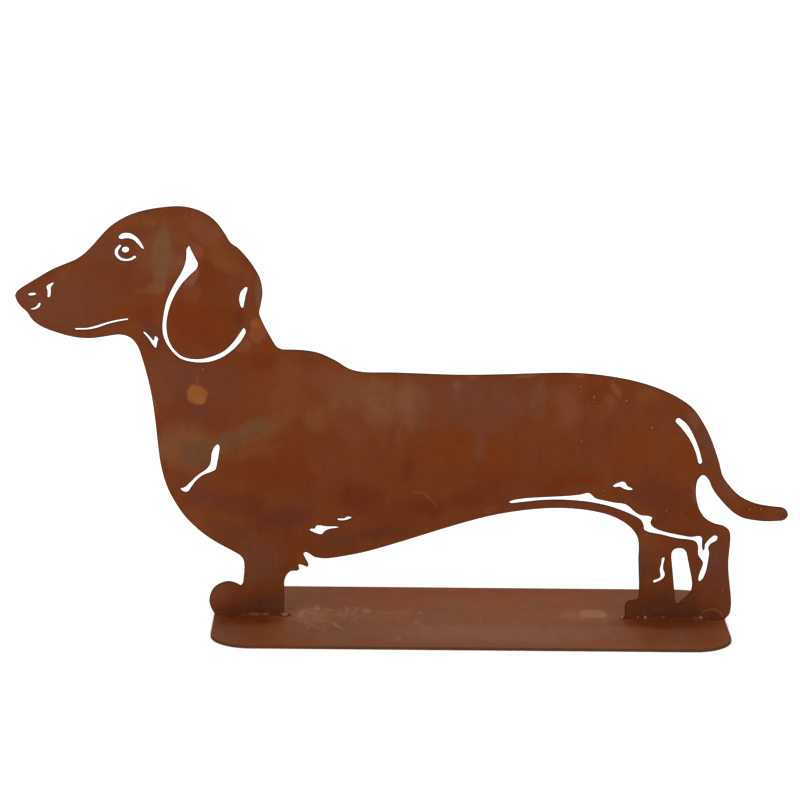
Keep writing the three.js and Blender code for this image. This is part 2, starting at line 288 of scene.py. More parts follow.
def sheet_piece(name, node, plane, pitches, warp, grain, paint, bumps, drop=None):
    """A dense closed mesh of a CAD sheet, with its raised specks on its first face.

    warp bends both faces alike, grain roughens each face, paint gives each point a colour, and
    drop moves the finished points.
    """
    raw = read_outlines(node, plane)
    outlines = [divided(outline, OUTLINE_STEP) for outline in raw]
    insets = [outline + inward(outline) * ARRIS for outline in outlines]
    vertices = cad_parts[node].data.vertices
    depths = sorted(vert.co[plane.through] * plane.facing for vert in vertices)
    first = depths[-1] * plane.facing
    last = depths[0] * plane.facing
    inwards = -plane.facing

    def place(points, depths):
        verts = np.zeros((len(points), 3))
        verts[:, plane.across] = points
        verts[:, plane.through] = depths
        return verts

    verts, rooms, colours, faces = [], [], [], []
    caps = []
    base = 0
    for side, (level, pitch) in enumerate(zip((first, last), pitches)):
        raised = bumps if side == 0 else ()
        cap = Cap(raw, outlines, insets, pitch, raised)
        relief = grain(cap.points, side) * np.minimum(1, cap.room / RELIEF_FADE)
        relief -= inwards * bump_height(cap.points, raised)
        verts.append(place(cap.points, level + warp(cap.points) + relief))
        rooms.append(cap.room)
        colours.append(paint(cap.points, side))
        order = 1 if side == 0 else -1
        faces += [tuple(base + i for i in face[::order]) for face in cap.faces]
        cap.base = base
        base += len(cap.points)
        caps.append(cap)

    thickness = abs(last - first)
    levels = [ARRIS + (thickness - 2 * ARRIS) * row / WALL_ROWS for row in range(WALL_ROWS + 1)]
    offset = 0
    for outline in outlines:
        size = len(outline)
        bend = warp(outline)
        wall_colour = paint(outline, 0)
        rows = [[caps[0].base + caps[0].rim[offset + i] for i in range(size)]]
        for level in levels:
            verts.append(place(outline, first + inwards * level + bend))
            rooms.append(np.zeros(size))
            colours.append(wall_colour)
            rows.append(list(range(base, base + size)))
            base += size
        rows.append([caps[1].base + caps[1].rim[offset + i] for i in range(size)])
        faces += wall_faces(rows)
        offset += size

    verts = np.vstack(verts)
    if drop is not None:
        verts = drop(verts)
    return rust_piece(name, verts, faces, np.vstack(colours), np.concatenate(rooms))


# ---- Node trees ----

COLOUR_A, COLOUR_B, COLOUR_OUT = 6, 7, 2  # the colour sockets of a mix node


class Tree:
    """Short calls that add nodes to a node tree and link them."""

    def __init__(self, tree):
        self.tree = tree

    def add(self, kind, **settings):
        node = self.tree.nodes.new(kind)
        for key, value in settings.items():
            setattr(node, key, value)
        return node

    def link(self, source, socket):
        if isinstance(source, (int, float, tuple)):
            socket.default_value = source
        else:
            self.tree.links.new(source, socket)

    def scaled(self, colour, factor):
        node = self.add("ShaderNodeVectorMath", operation="SCALE")
        self.link(colour, node.inputs[0])
        self.link(factor, node.inputs["Scale"])
        return node.outputs["Vector"]

    def noise(self, vector, size, detail, roughness):
        """Noise whose features are about size metres across."""
        node = self.add("ShaderNodeTexNoise", noise_dimensions="3D")
        self.link(vector, node.inputs["Vector"])
        node.inputs["Scale"].default_value = 1 / size
        node.inputs["Detail"].default_value = detail
        node.inputs["Roughness"].default_value = roughness
        return node.outputs["Fac"]

    def ramp(self, value, low, high, to_low, to_high, smooth=True):
        node = self.add("ShaderNodeMapRange",
                        interpolation_type="SMOOTHSTEP" if smooth else "LINEAR")
        self.link(value, node.inputs["Value"])
        numbers = {"From Min": low, "From Max": high, "To Min": to_low, "To Max": to_high}
        for socket, number in numbers.items():
            self.link(number, node.inputs[socket])
        return node.outputs["Result"]

    def blend(self, share, a, b):
        """The colour b laid over the colour a."""
        node = self.add("ShaderNodeMix", data_type="RGBA", blend_type="MIX")
        self.link(share, node.inputs["Factor"])
        self.link(a, node.inputs[COLOUR_A])
        self.link(b, node.inputs[COLOUR_B])
        return node.outputs[COLOUR_OUT]


# ---- Patina, with painted sheen and shade: colours and places ----

# Colours as 8-bit display values, as they show in the scene's light.
PALE = (168, 118, 92)
AMBER = (139, 79, 35)
APRICOT = (133, 74, 37)
SALMON = (131, 74, 46)
BLUSH = (124, 70, 49)
HAZE = (119, 76, 50)
OLIVE = (107, 74, 43)
SAGE = (106, 68, 42)
TAN = (117, 70, 41)
ROSE = (118, 65, 40)
OCHRE = (116, 63, 31)
UMBER_TAN = (113, 61, 35)
STEEL = (110, 66, 44)
SLATE = (108, 61, 42)
MAUVE = (109, 59, 38)
DUSK = (105, 56, 37)
RUSSET = (112, 55, 27)
ORANGE = (114, 52, 18)
EMBER = (112, 47, 8)
COCOA = (108, 49, 19)
BARK = (103, 46, 19)
MAROON = (102, 46, 22)
PLUM = (99, 48, 29)
GRAPE = (101, 52, 36)
UMBER = (100, 54, 32)
# Dark rust at the feet, with painted contact shade in it where the sheet meets the plate.
DARK_RUST_AND_SHADE = (94, 50, 33)
BRICK = (110, 62, 40)
CLAY = (134, 64, 22)
SAND = (147, 95, 62)
DOVE = (133, 82, 57)

# Areas of colour: name, centre x and height in mm, half width, half height, tilt in degrees,
# softness (0 crisp, 1 a long fade), colour, strength. The height is above the plate. Most are
# patina; the band along the back and the feet also hold painted sheen and contact shade.
NEAR_PATCHES = [
    ("muzzle", -262, 208, 32, 18, 15, 1.0, MAUVE, 0.85),
    ("muzzle chin", -250, 196, 20, 6, 0, 0.9, DUSK, 0.5),
    ("muzzle top", -256, 228, 18, 6, 30, 0.9, UMBER_TAN, 0.7),
    ("nose", -287, 211, 9, 8, 0, 0.8, SLATE, 0.6),
    ("under mouth", -232, 190, 18, 4.5, 6, 0.7, RUSSET, 0.8),
    ("cheek red", -224, 222, 12, 6, 0, 0.9, COCOA, 0.35),
    ("cheek orange", -225, 204, 9, 6, 0, 0.7, ORANGE, 0.85),
    ("jaw hinge", -212, 200, 7, 8, -20, 0.6, COCOA, 0.85),
    ("jaw dark", -206, 187, 12, 8, -40, 0.7, GRAPE, 0.85),
    ("brow", -238, 249, 9, 16, -50, 0.8, ROSE, 0.5),
    ("brow mauve", -233, 240, 10, 10, 0, 0.9, MAUVE, 0.7),
    ("crown olive", -207, 261, 24, 5.5, 4, 0.8, OCHRE, 0.8),
    ("temple", -213, 238, 8, 14, 0, 0.9, UMBER_TAN, 0.8),
    ("crown back", -186, 250, 7, 9, 0, 0.8, OCHRE, 0.6),
    ("crown rim", -172, 256, 14, 8, -40, 0.7, ROSE, 0.8),
    ("streak halo", -199, 238, 11, 22, -6, 0.8, TAN, 0.5),
    ("streak", -199.5, 236.5, 6.8, 21.5, -6, 0.4, (111, 73, 46), 0.95),
    ("streak core", -197.5, 251, 4.6, 7, 0, 0.7, OLIVE, 0.8),
    ("streak side", -190, 231, 4.5, 10, -22, 0.8, HAZE, 0.5),
    ("streak foot", -204, 218, 7, 4.6, 0, 0.35, TAN, 0.85),
    ("cheek smear", -214, 216.4, 4.6, 2, 0, 0.3, ROSE, 0.75),
    ("ear dark", -169, 226, 10, 14, 10, 0.8, COCOA, 0.9),
    ("ear top", -160, 240, 16, 9, -28, 0.8, (118, 62, 27), 0.8),
    ("ear olive", -158, 234, 12, 4.5, -20, 0.6, OCHRE, 0.85),
    ("ear lap", -178, 194, 17, 18, 0, 0.7, EMBER, 0.9),
    ("ear lap rear", -160, 202, 9, 17, 0, 0.9, COCOA, 0.85),
    ("ear lap dark", -151, 199, 4.5, 7, 0, 0.6, MAROON, 0.85),
    ("ear lap foot", -180, 178.5, 8, 2.4, 0, 0.5, RUSSET, 0.6),
    ("ear root pink", -181, 225, 4, 7.5, -24, 0.2, BLUSH, 0.95),
    ("ear rear green", -137.5, 217, 3.6, 15, 0, 0.5, SAGE, 0.9),
    ("ear rear tan", -144, 227, 3, 5, 0, 0.8, ROSE, 0.4),
    ("nape orange", -131, 177, 8, 7, -30, 0.6, ORANGE, 0.9),
    ("nape pink", -147.5, 181, 6, 4.6, 20, 0.35, ROSE, 0.85),
    ("throat", -200, 156, 10, 24, -4, 0.9, MAUVE, 0.9),
    ("neck", -180, 158, 22, 16, 0, 0.9, DUSK, 0.9),
    ("neck rear", -155, 154, 12, 20, 0, 0.9, DUSK, 0.6),
    ("neck rear red", -149, 141, 10, 8, 0, 0.9, RUSSET, 0.6),
    ("blot halo", -177, 139, 13, 9, 0, 0.8, GRAPE, 0.8),
    ("blot run", -177.6, 158, 0.8, 5, 0, 0.6, BLUSH, 0.6),
    ("withers", -136, 171, 9, 8, -10, 0.6, COCOA, 0.95),
    ("withers low", -138, 157, 13, 8, 0, 0.8, RUSSET, 0.8),
    ("withers tan", -118, 158, 12, 15, 0, 0.8, OCHRE, 0.85),
    ("withers pink", -97, 160, 12, 10, -20, 0.8, ROSE, 0.7),
    ("shoulder", -118, 143, 20, 13, 0, 0.9, OCHRE, 0.75),
    ("shoulder olive", -96, 133, 13, 12, 0, 0.8, OCHRE, 0.85),
    ("shoulder olive haze", -101, 131, 9, 8, 0, 0.9, TAN, 0.5),
    ("chest tan", -186, 112, 24, 18, 0, 0.7, TAN, 0.9),
    ("chest band tan", -136, 126, 20, 9, 18, 0.7, TAN, 0.6),
    ("chest band low", -142, 109, 22, 6, 16, 0.7, OCHRE, 0.7),
    ("chest band", -157, 118, 19, 8, 22, 0.5, SAGE, 0.8),
    ("chest green", -180, 109, 10.5, 10, 0, 0.5, (102, 66, 42), 0.95),
    ("chest green rear", -141, 126, 11, 6.4, 18, 0.35, SAGE, 0.95),
    ("chest band end", -121, 135, 9, 4, 10, 0.6, ROSE, 0.6),
    ("front body", -124, 96, 34, 16, 0, 0.8, COCOA, 0.95),
    ("front body orange", -118, 100, 12, 9, 0, 0.9, ORANGE, 0.4),
    ("ribs front", -92, 100, 14, 16, 0, 0.9, RUSSET, 0.8),
    ("breast purple", -174, 80, 20, 7, -20, 0.8, GRAPE, 0.95),
    ("breast maroon", -148, 76, 17, 7, -8, 0.8, PLUM, 0.9),
    ("breast tan", -180, 66, 10, 6, -35, 0.8, UMBER_TAN, 0.7),
    ("elbow", -124, 66, 24, 10, 0, 0.8, PLUM, 0.95),
    ("brisket", -152, 56, 22, 7, -25, 0.9, UMBER, 0.8),
    ("girth", -88, 52, 14, 6, 0, 0.7, UMBER, 0.95),
    ("elbow tuft", -108.5, 38, 4.5, 6.5, 25, 0.7, (122, 66, 20), 0.85),
    ("foreleg", -138, 36, 14, 18, 0, 0.9, (107, 60, 38), 0.95),
    ("paw", -165, 14, 10, 9, 0, 0.7, STEEL, 0.7),
    # The fore foot darkens towards the plate: dark rust, and painted contact shade.
    ("fore foot", -136, 5, 22, 14, 0, 0.7, DARK_RUST_AND_SHADE, 0.95),
    ("fore foot spot", -137.5, 9, 3, 2.2, 0, 0.5, (84, 40, 20), 0.6),
    ("fore foot red", -144, 2, 24, 5, 0, 0.7, (88, 45, 29), 0.8),
    # From here to the loin, the paler and greyer tints along the upper back are partly rust and
    # partly a painted sheen, a soft reflection laid into the colour.
    ("back front", -84, 148, 12, 17, 0, 0.9, TAN, 0.85),
    ("back sage", -62, 144, 16, 21, 0, 0.9, (119, 76, 48), 0.8),
    ("back streak", -43, 146, 9, 20, 0, 0.9, HAZE, 0.9),
    ("back streak rear", -33, 146, 9, 18, 0, 0.9, STEEL, 0.8),
    ("back haze", -8, 150, 20, 15, 0, 0.9, SLATE, 0.95),
    ("back haze rear", 19, 147, 18, 17, 0, 0.9, SLATE, 0.85),
    ("back haze low", -2, 133, 24, 10, 0, 0.9, MAUVE, 0.7),
    ("loin streak", 42, 147, 7, 17, -12, 0.8, STEEL, 0.9),
    ("loin pink", 61, 143, 11, 15, 0, 0.9, ROSE, 0.75),
    ("back spot", -11, 155, 3, 3.4, 0, 0.8, (131, 82, 60), 0.45),
    ("back edge spot", 0, 162, 4, 2.4, 0, 0.4, BLUSH, 0.7),
    ("loin edge spot", 34, 163.5, 8, 2.2, 3, 0.35, SALMON, 0.75),
    ("rump edge spot", 69, 164, 5, 2, 0, 0.4, APRICOT, 0.7),
    ("flank warm", 0, 106, 72, 20, 0, 0.9, (111, 52, 20), 0.6),
    ("ribs tan", -78, 121, 9, 11, 0, 0.8, UMBER_TAN, 0.8),
    ("ribs orange", -61, 112, 8, 13, 0, 0.8, RUSSET, 0.8),
    ("ribs run", -46, 121, 5, 10, 0, 0.8, UMBER_TAN, 0.7),
    ("ribs mauve", -79, 98, 8, 10, 0, 0.9, RUSSET, 0.7),
    ("ribs dark", -41, 99, 5, 10, 0, 0.8, BARK, 0.75),
    ("flank orange", -12, 114, 9, 12, 0, 0.7, ORANGE, 0.8),
    ("flank run", 4, 116, 5.5, 13, 0, 0.8, UMBER_TAN, 0.8),
    ("flank orange rear", 17, 112, 8, 16, 0, 0.7, ORANGE, 0.9),
    ("flank brown", 38, 112, 9, 16, 0, 0.9, RUSSET, 0.7),
    ("flank low", 15, 92, 14, 7, 0, 0.9, COCOA, 0.8),
    ("groin", 56, 93, 16, 7, 5, 0.8, COCOA, 0.9),
    ("groin orange", 76, 95, 12, 5, 0, 0.7, EMBER, 0.8),
    ("belly", -72, 80, 16, 10, 0, 0.8, MAROON, 0.9),
    ("belly middle", -48, 71, 18, 10, 10, 0.9, COCOA, 0.8),
    ("belly dark", -28, 74, 14, 7, 15, 0.8, MAROON, 0.9),
    ("belly rear", 1, 81, 18, 7, 10, 0.8, MAROON, 0.9),
    ("belly low", -60, 57, 20, 6, 12, 0.8, PLUM, 0.9),
    ("belly pink", 13, 73, 5, 2.5, 14, 0.3, UMBER_TAN, 0.8),
    ("belly strip", 62, 76.5, 42, 3.2, 0, 0.9, DUSK, 0.7),
    ("rump", 80, 136, 13, 15, 0, 0.8, RUSSET, 0.8),
    ("rump dark", 80, 150, 7, 6, 0, 0.6, COCOA, 0.8),
    ("rump pink", 88, 145, 5, 8, 0, 0.7, ROSE, 0.5),
    ("rump olive", 112, 151, 9, 7, -12, 0.8, OCHRE, 0.85),
    ("thigh front", 88, 113, 14, 16, 0, 0.9, RUSSET, 0.7),
    ("thigh orange", 105, 113, 12, 15, 0, 0.9, ORANGE, 0.85),
    ("thigh mauve", 124, 126, 12, 12, 0, 0.9, RUSSET, 0.7),
    ("thigh rear", 135, 110, 10, 15, 0, 0.8, ORANGE, 0.75),
    ("hip", 126, 84, 23, 10, -8, 0.8, (104, 50, 28), 0.95),
    ("stifle", 106, 84, 9, 5, 0, 0.9, GRAPE, 0.6),
    ("hock", 147, 72, 13, 8, -35, 0.7, COCOA, 0.9),
    ("hock front", 125, 69, 9, 6, 0, 0.8, PLUM, 0.65),
    ("hock rim", 144.5, 85, 1.4, 8, 8, 0.5, BLUSH, 0.6),
    ("tail root", 144, 136, 4.5, 7, 35, 0.7, STEEL, 0.85),
    ("tail upper", 154, 117, 6, 18, 20, 0.8, (103, 58, 45), 0.95),
    ("tail bend", 166, 90, 7, 8, 35, 0.7, SLATE, 0.8),
    ("tail", 184, 74, 9, 5, 0, 0.6, COCOA, 0.9),
    ("tail tip", 200, 72, 5, 4, 0, 0.6, DUSK, 0.8),
    ("hind leg", 115, 53, 8, 8, 0, 0.7, UMBER_TAN, 0.7),
    ("hind leg low", 114, 36, 8, 13, 0, 0.8, (98, 57, 37), 0.95),
    ("hock strip", 138, 58, 14, 3, -5, 0.8, MAROON, 0.6),
    ("shank", 161, 38, 9, 19, 0, 0.8, (102, 56, 40), 0.95),
    ("shank low", 162, 21, 8, 9, 0, 0.8, DUSK, 0.8),
    # The hind feet darken towards the plate: dark rust, and painted contact shade.
    ("hind foot", 128, 4, 32, 17, 0, 0.7, DARK_RUST_AND_SHADE, 0.95),
    ("hind foot seam", 134, 1.5, 33, 4, 0, 0.7, (90, 45, 28), 0.8),
]

# Crisp angular stains on the near face: name, centre, half sizes, tilt, sides, colour,
# strength.
STAINS = [
    ("blot", -177.6, 148, 6.5, 7.1, 12, 7, AMBER, 0.95),
    ("blot low", -176.6, 144.6, 4.2, 3.2, 0, 5, (140, 84, 45), 0.7),
    ("ear root tan", -181, 214, 6.6, 7.4, 20, 4, (118, 60, 33), 0.5),
    ("ear root salmon", -177.3, 242.5, 4.4, 5.4, 24, 4, SALMON, 0.55),
    ("nape tan", -138, 191, 6.4, 9.4, -14, 5, (125, 67, 33), 0.9),
    ("nape tan head", -140, 196, 3.0, 4.0, -10, 5, APRICOT, 0.5),
    ("rump smear", 92.2, 154, 2.0, 6.4, 30, 6, SALMON, 0.6),
    ("rump smear foot", 88.5, 147, 3.4, 5.2, 10, 5, (119, 64, 40), 0.5),
]

# Raised specks on the near face: x and height in mm, radius, rise. Their pale middles are painted
# highlights.
SPECKS = [
    (78, 149, 1.0, 0.3), (78, 146, 0.8, 0.25), (99, 147, 0.9, 0.3), (115, 146, 0.8, 0.25),
    (116, 129, 1.0, 0.35), (69, 156, 0.8, 0.25), (72, 152, 0.6, 0.2), (70.5, 120, 0.8, 0.25),
    (73, 112, 0.7, 0.2), (86, 86.5, 0.8, 0.25), (127, 73.5, 0.8, 0.25), (181, 75, 0.9, 0.3),
    (188.5, 75, 0.9, 0.3), (165, 20, 0.8, 0.25), (-62, 151, 0.7, 0.2), (-57, 150, 0.7, 0.2),
    (-160, 68, 0.7, 0.12), (-142, 67, 0.6, 0.1), (-125, 67, 0.6, 0.1), (-148, 49, 0.7, 0.12),
    (-159, 51, 0.7, 0.12), (-174, 165, 1.0, 0.22), (-194.5, 262, 0.7, 0.2), (-105, 174, 0.7, 0.2),
]

# Thin light lines on the near face, the points they pass in mm and their strength: two scratches,
# and an arc over the top of the hind foot's weld dome.
SCRATCHES = [
    ([(-37, 84.5), (-31, 84), (-27, 80), (-23, 75)], 0.26),
    ([(-209, 152), (-206, 143), (-204, 136)], 0.3),
    ([(151.5, 3), (154, 5.8), (158.3, 7.2), (163, 5.8), (166, 2.6)], 0.3),
]

# The far side is plainer: these broad areas, and small ones of these tints scattered over them.
FAR_AREAS = [
    ("head haze", -200, 225, 34, 24, -12, 0.9, SLATE, 0.8),
    ("ear", -172, 200, 22, 26, 0, 0.8, EMBER, 0.6),
    ("neck", -170, 150, 26, 22, 10, 0.9, MAUVE, 0.8),
    ("shoulder streak", -128, 120, 30, 7, -24, 0.6, (109, 64, 38), 0.8),
    # A painted sheen along the upper back, as on the near face, over the rust.
    ("back haze", -20, 148, 60, 16, 0, 0.9, SLATE, 0.8),
    ("flank", -40, 100, 40, 20, 8, 0.9, COCOA, 0.7),
    ("rump", 110, 120, 30, 28, 0, 0.9, ORANGE, 0.7),
    ("thigh", 120, 75, 22, 14, -10, 0.8, PLUM, 0.7),
    ("tail", 185, 73, 16, 7, 0, 0.8, COCOA, 0.6),
    ("legs front", -140, 40, 24, 18, 0, 0.9, UMBER, 0.7),
    ("legs rear", 140, 35, 32, 20, 0, 0.9, UMBER, 0.7),
    # Darker feet, as on the near face: dark rust, and painted contact shade.
    ("fore foot", -140, 4, 24, 10, 0, 0.7, DARK_RUST_AND_SHADE, 0.8),
    ("hind foot", 130, 4, 34, 10, 0, 0.7, DARK_RUST_AND_SHADE, 0.8),
]
FAR_TINTS = (OCHRE, ROSE, TAN, RUSSET, ORANGE, COCOA, BARK, PLUM, MAUVE, SLATE, UMBER_TAN)

# The same for the plate's top, where the second place is y.
PLATE_PATCHES = [
    # Darker towards both ends, under and before the legs: the plate's rust with the painted
    # reflection and shade of the legs.
    ("left end", -150, -10, 26, 60, 0, 0.9, BRICK, 0.9),
    ("right end", 137, -10, 34, 60, 0, 0.9, BRICK, 0.9),
    ("left front", -143, -48, 20, 16, 0, 0.9, OCHRE, 0.4),
    ("right front", 142, -50, 28, 14, 0, 0.9, OCHRE, 0.6),
    ("back", 0, 40, 122, 26, 0, 0.6, (137, 68, 24), 0.8),
    ("back left", -108, 42, 16, 24, 0, 0.8, (134, 69, 30), 0.6),
    ("back band", -10, 57, 86, 9, 0, 0.7, CLAY, 0.8),
    ("back red", 8, 50, 18, 7, 0, 0.8, (138, 66, 30), 0.7),
    ("back ochre", -6, 28, 18, 14, 0, 0.9, (129, 74, 33), 0.7),
    ("back olive", 42, 31, 9, 13, 0, 0.8, (122, 76, 37), 0.6),
    ("back orange", -52, 34, 26, 16, 0, 0.9, CLAY, 0.6),
    # Paler across the front middle, away from the legs: partly the plate's rust, partly painted
    # light.
    ("front dove", 12, -36, 84, 22, 0, 0.9, DOVE, 0.85),
    ("front olive", -88, -46, 18, 12, 0, 0.9, (123, 80, 53), 0.6),
    ("front clay", 84, -54, 14, 9, 0, 0.8, CLAY, 0.5),
    ("blot halo", 72, 4, 16, 13, 0, 0.8, (136, 82, 50), 0.6),
    ("scuffed", -103, 0, 12, 20, 0, 0.5, (137, 83, 54), 0.6),
    ("scuffed dab", -68, 10, 3.6, 5, 0, 0.4, (145, 93, 62), 0.65),
    # Dark before the feet: painted shadow and reflection of the legs on the plate.
    ("before the hind feet", 128, -11, 34, 14, 0, 0.7, (102, 46, 23), 0.9),
    ("before the front foot", -147, -10, 23, 14, 0, 0.7, (102, 48, 24), 0.9),
    ("heat spot", -135, -14, 4, 4.5, 0, 0.5, (86, 38, 18), 0.55),
    ("heat spot left", -158, -5, 5, 3.5, 0, 0.5, (86, 36, 18), 0.5),
]
PLATE_STAINS = [("blot", 82, 8.5, 11, 11, 45, 4, SAND, 0.85)]
PLATE_SCRATCHES = [
    ([(-111, -5), (-110, 7), (-105, 14), (-98, 15)], 0.34),
    ([(-100.5, 21), (-100, 12)], 0.51),
    ([(-94, 14), (-91, 10)], 0.51),
    ([(-81, 20), (-80, 9)], 0.42),
    ([(-74, 18), (-76, 6), (-78, 2)], 0.42),
    ([(-115, -8), (-108, -14), (-101, -24), (-97, -30)], 0.36),
    ([(-104, -8), (-97, -12), (-93, -12)], 0.42),
    ([(-89, -17), (-86, -24), (-83, -28)], 0.59),
    ([(-47, -44), (-46, -52)], 0.42),
    ([(-33, 10), (-31, 5)], 0.42),
    ([(-57, 5), (-50, 9), (-44, 6)], 0.26),
    ([(7, -5), (7, -9)], 0.34),
]
PLATE_SPECKS = [
    (-105, -3, 0.9, 0.2), (90, -28, 0.8, 0.2), (103, -8.5, 0.7, 0.2), (-134, 2.5, 0.6, 0.2),
    (-156, -20, 0.8, 0.25), (-135, -19, 0.7, 0.2), (-96, -38, 0.6, 0.15), (56, -40, 0.6, 0.15),
    (-29, 47, 0.7, 0.15), (38, 59, 0.7, 0.15),
]


# ---- Patina: marks at random ----

def scattered(seed, count, tints):
    """Soft areas at random, most of them taller than wide, as rain runs down a sheet."""
    rng = np.random.default_rng(seed)
    areas = []
    for i in range(count):
        width = rng.uniform(4, 15)
        x = rng.uniform(-290, 200)
        height = rng.uniform(10, 260)
        stretch = rng.uniform(0.7, 2.2)
        tilt = rng.uniform(-20, 20)
        softness = rng.uniform(0.4, 0.9)
        tint = tints[rng.integers(len(tints))]
        strength = rng.uniform(0.5, 0.95)
        areas.append((f"run {i}", x, height, width, width * stretch, tilt, softness, tint,
                      strength))
    return areas


def far_specks(seed, count):
    """Flat specks at random over the body and head of the far side: a dark ring round a pale
    middle, a painted highlight.
    """
    rise = 0.15
    rng = np.random.default_rng(seed)
    return [(rng.uniform(-230, 150), rng.uniform(60, 250), rng.uniform(0.5, 0.9), rise)
            for _ in range(count)]


def fine_scratches(seed, count):
    """Short faint scratches at random over the scuffed part of the plate."""
    rng = np.random.default_rng(seed)
    lines = []
    for _ in range(count):
        x = rng.uniform(-112, -20)
        y = rng.uniform(-34, 24)
        slant = rng.uniform(-1.9, -0.7)
        length = rng.uniform(4, 12)
        end = (x + length * math.cos(slant), y + length * math.sin(slant))
        lines.append(([(x, y), end], rng.uniform(0.12, 0.28)))
    return lines


def spatter(seed, count, spans, reach):
    """Small weld spatter at random: spans of x, and the range of the second place, in mm."""
    rng = np.random.default_rng(seed)
    specks = []
    for i in range(count):
        start, end = spans[i % len(spans)]
        specks.append((rng.uniform(start, end), rng.uniform(*reach),
                       rng.uniform(0.35, 0.6), rng.uniform(0.12, 0.22)))
    return specks


WELD_SPANS = [(-155, -124), (101, 160)]
DOG_SPECKS = SPECKS + spatter(SEED + 1, 8, WELD_SPANS, (5, 13))
PLATE_TOP_SPECKS = PLATE_SPECKS + spatter(SEED + 2, 12, WELD_SPANS, (-20, -6))
PLATE_TOP_SCRATCHES = PLATE_SCRATCHES + fine_scratches(SEED + 3, 26)
FAR_PATCHES = FAR_AREAS + scattered(SEED + 30, 90, FAR_TINTS)
FAR_SPECKS = far_specks(SEED + 31, 40)

# ---- Patina, with painted sheen, shade and highlights: painting ----

LIGHT = 1.225     # how much of its albedo a surface shows in the scene's light
SHEEN = 0.0059    # what the soft reflections add
DARKEST = 0.0006  # least albedo

# Noises that shift the borders of everything painted: their size, and the shift in mm.
FRAY_SIZE = 5 * MM
FRAY = 1.6
DRIFT_SIZE = 24 * MM
DRIFT = 6
# Noises that mix the base: where the second tint shows, and where the third does.
BROAD_SIZE = 70 * MM
MIDDLE_SIZE = 26 * MM
MIDDLE_SHARE = 0.6
# Mottle over everything: size, strength and octaves of the round grains, and of the runs.
GRAINS = ((9 * MM, 0.022, 4), (3 * MM, 0.018, 2))
RUN_SIZE = 7 * MM
RUN_STRENGTH = 0.025
RUN_SQUEEZE = np.array([1, 0.22])        # makes a run taller than wide
MOTTLE_TINT = np.array([0.8, 1.2, 1.6])  # share of the mottle in red, green and blue

FULL_GIVE = 9        # half size in mm from which an area's border is shifted in full
FADE_OUT = 0.35      # how far the softest area fades past its border, in half sizes
FADE_IN = 0.75       # and how far inside it
STAIN_DRIFT = 0.08   # how much of the drift shifts a stain's border
STAIN_FRAY = 0.5     # and how much of the fray
STAIN_FADE = 0.7     # mm
SCRATCH_DRIFT = 0.1  # how much of the drift shifts a scratch
SCRATCH_CORE = 0.2   # half width in mm of its palest part
HALO = 3.0           # how far the darker ring round a speck reaches, in radii of the speck
HALO_GAIN = 2.2      # strength of the ring for each mm that the speck rises
# A speck's pale middle is a painted highlight, at full strength from this rise.
GLINT_FULL_RISE = 0.5    # rise in mm of a speck that is fully pale


def smooth_step(value, start, end):
    share = np.clip((value - start) / (end - start), 0, 1)
    return share * share * (3 - 2 * share)


def clouds(points, size, seed, octaves=3):
    """Fractal noise over the plane, mostly within -1 and 1."""
    shift = Vector((seed * 17.3, seed * 5.9, seed * 9.1))
    return np.array([noise.fractal(Vector((u / size, v / size, 0)) + shift, 0.9, 2.0, octaves)
                     for u, v in points])


def in_axes(across, up, tilt, half_u, half_v):
    """A place in an area's own tilted axes, as shares of its half sizes."""
    c = math.cos(math.radians(tilt))
    s = math.sin(math.radians(tilt))
    return (across * c + up * s) / half_u, (up * c - across * s) / half_v


def polygon_radius(across, up, sides):
    """How far out a place is in a polygon with blunt corners: 1 on the middle of its sides."""
    bluntness = 0.3
    radius = np.hypot(across, up)
    sector = 2 * math.pi / sides
    turn = np.mod(np.arctan2(up, across), sector) - sector / 2
    straight = radius * np.cos(turn) / math.cos(sector / 2)
    return (1 - bluntness) * straight + bluntness * radius


def line_distance(u, v, line):
    """Distance from each point to a broken line."""
    nearest = np.full(len(u), np.inf)
    for (x0, y0), (x1, y1) in zip(line, line[1:]):
        dx = x1 - x0
        dy = y1 - y0
        along = np.clip(((u - x0) * dx + (v - y0) * dy) / (dx * dx + dy * dy), 0, 1)
        nearest = np.minimum(nearest, np.hypot(u - x0 - along * dx, v - y0 - along * dy))
    return nearest


def laid_over(colour, tint, share):
    return colour * (1 - share[:, None]) + np.array(tint) * share[:, None]


